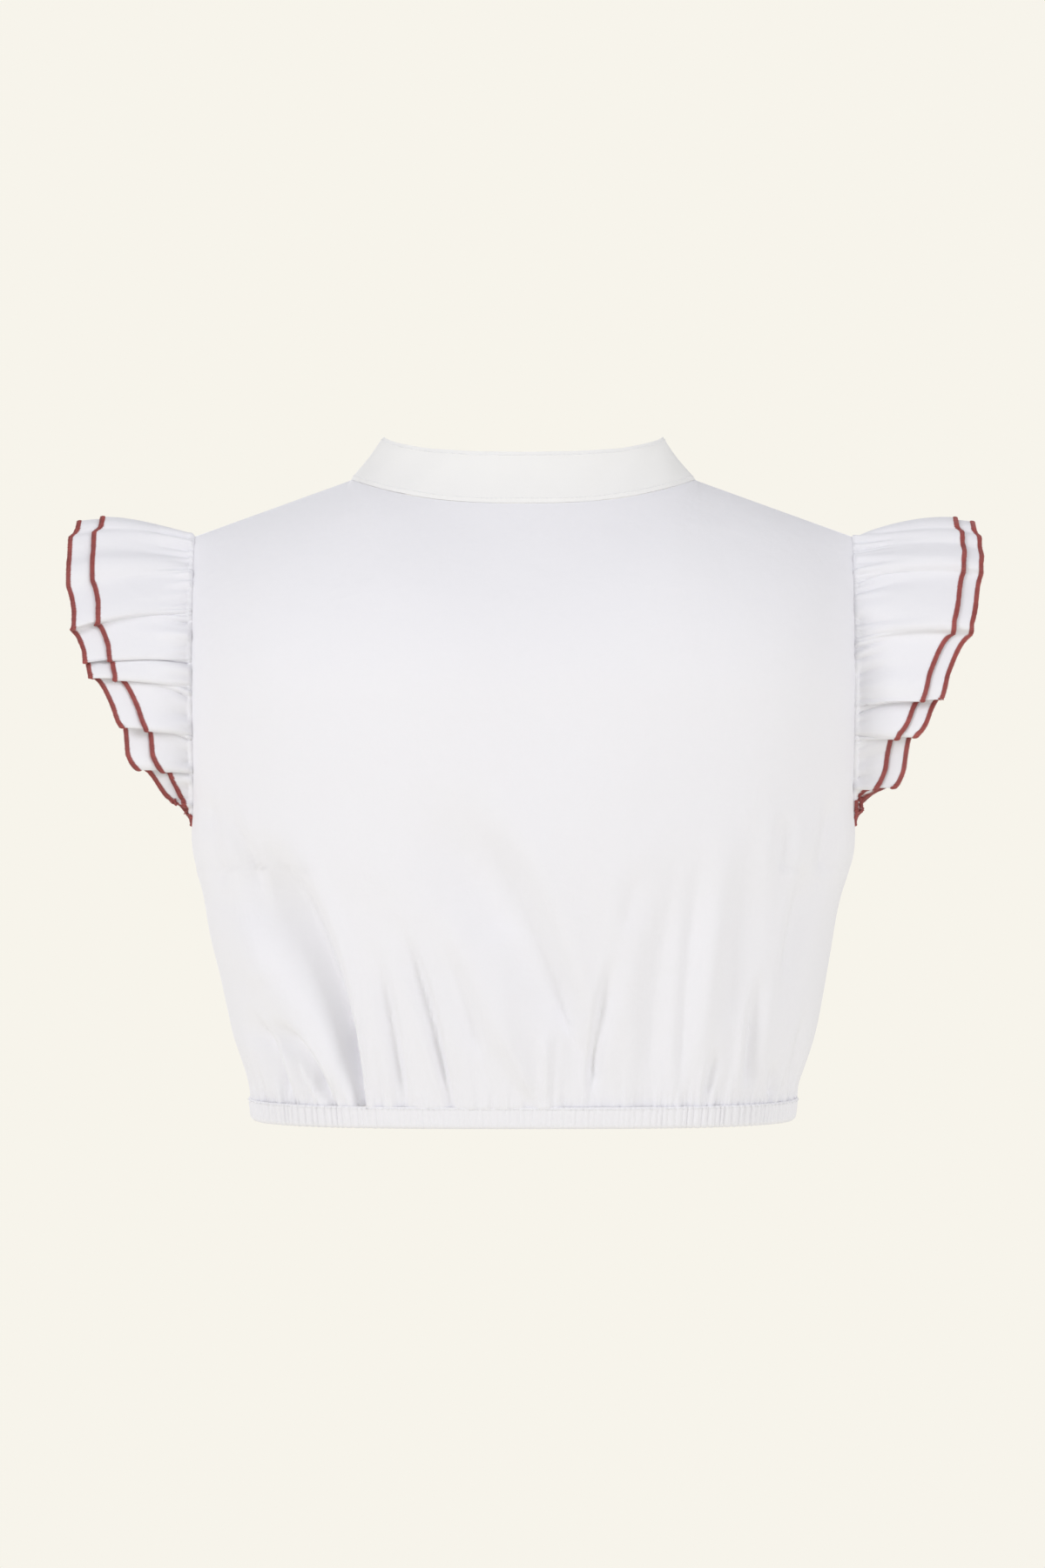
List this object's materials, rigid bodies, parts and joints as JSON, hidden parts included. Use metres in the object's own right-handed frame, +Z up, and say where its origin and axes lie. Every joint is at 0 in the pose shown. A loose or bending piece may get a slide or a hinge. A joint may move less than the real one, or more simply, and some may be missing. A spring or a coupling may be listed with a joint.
{
  "type": "dirndl blouse",
  "caption": "Short white blouse with a stand collar, a buttoned front, double frilled cap sleeves edged in red and a gathered elastic hem.",
  "frame": {"origin": "midway between the two shoulders, where the wearer's shoulders carry the blouse", "axes": "+Z up, -Y towards the wearer's front, +X towards the wearer's left"},
  "size_m": [0.5296, 0.2549, 0.3909],
  "materials": {
    "white_cotton": "fine plain-weave cotton, matt",
    "white_button": "satin, slightly pearly"
  },
  "bodies": {
    "root": {"back_panel": "white_cotton", "front_panel_left": "white_cotton", "front_panel_right": "white_cotton", "button_placket": "white_cotton", "collar": "white_cotton", "hem_casing_back": "white_cotton", "hem_casing_left": "white_cotton", "hem_casing_right": "white_cotton", "frill_left_top": "white_cotton", "frill_left_under": "white_cotton", "frill_right_top": "white_cotton", "frill_right_under": "white_cotton", "button_1": "white_button", "button_2": "white_button", "button_3": "white_button", "button_4": "white_button", "button_5": "white_button"}
  },
  "joints": []
}
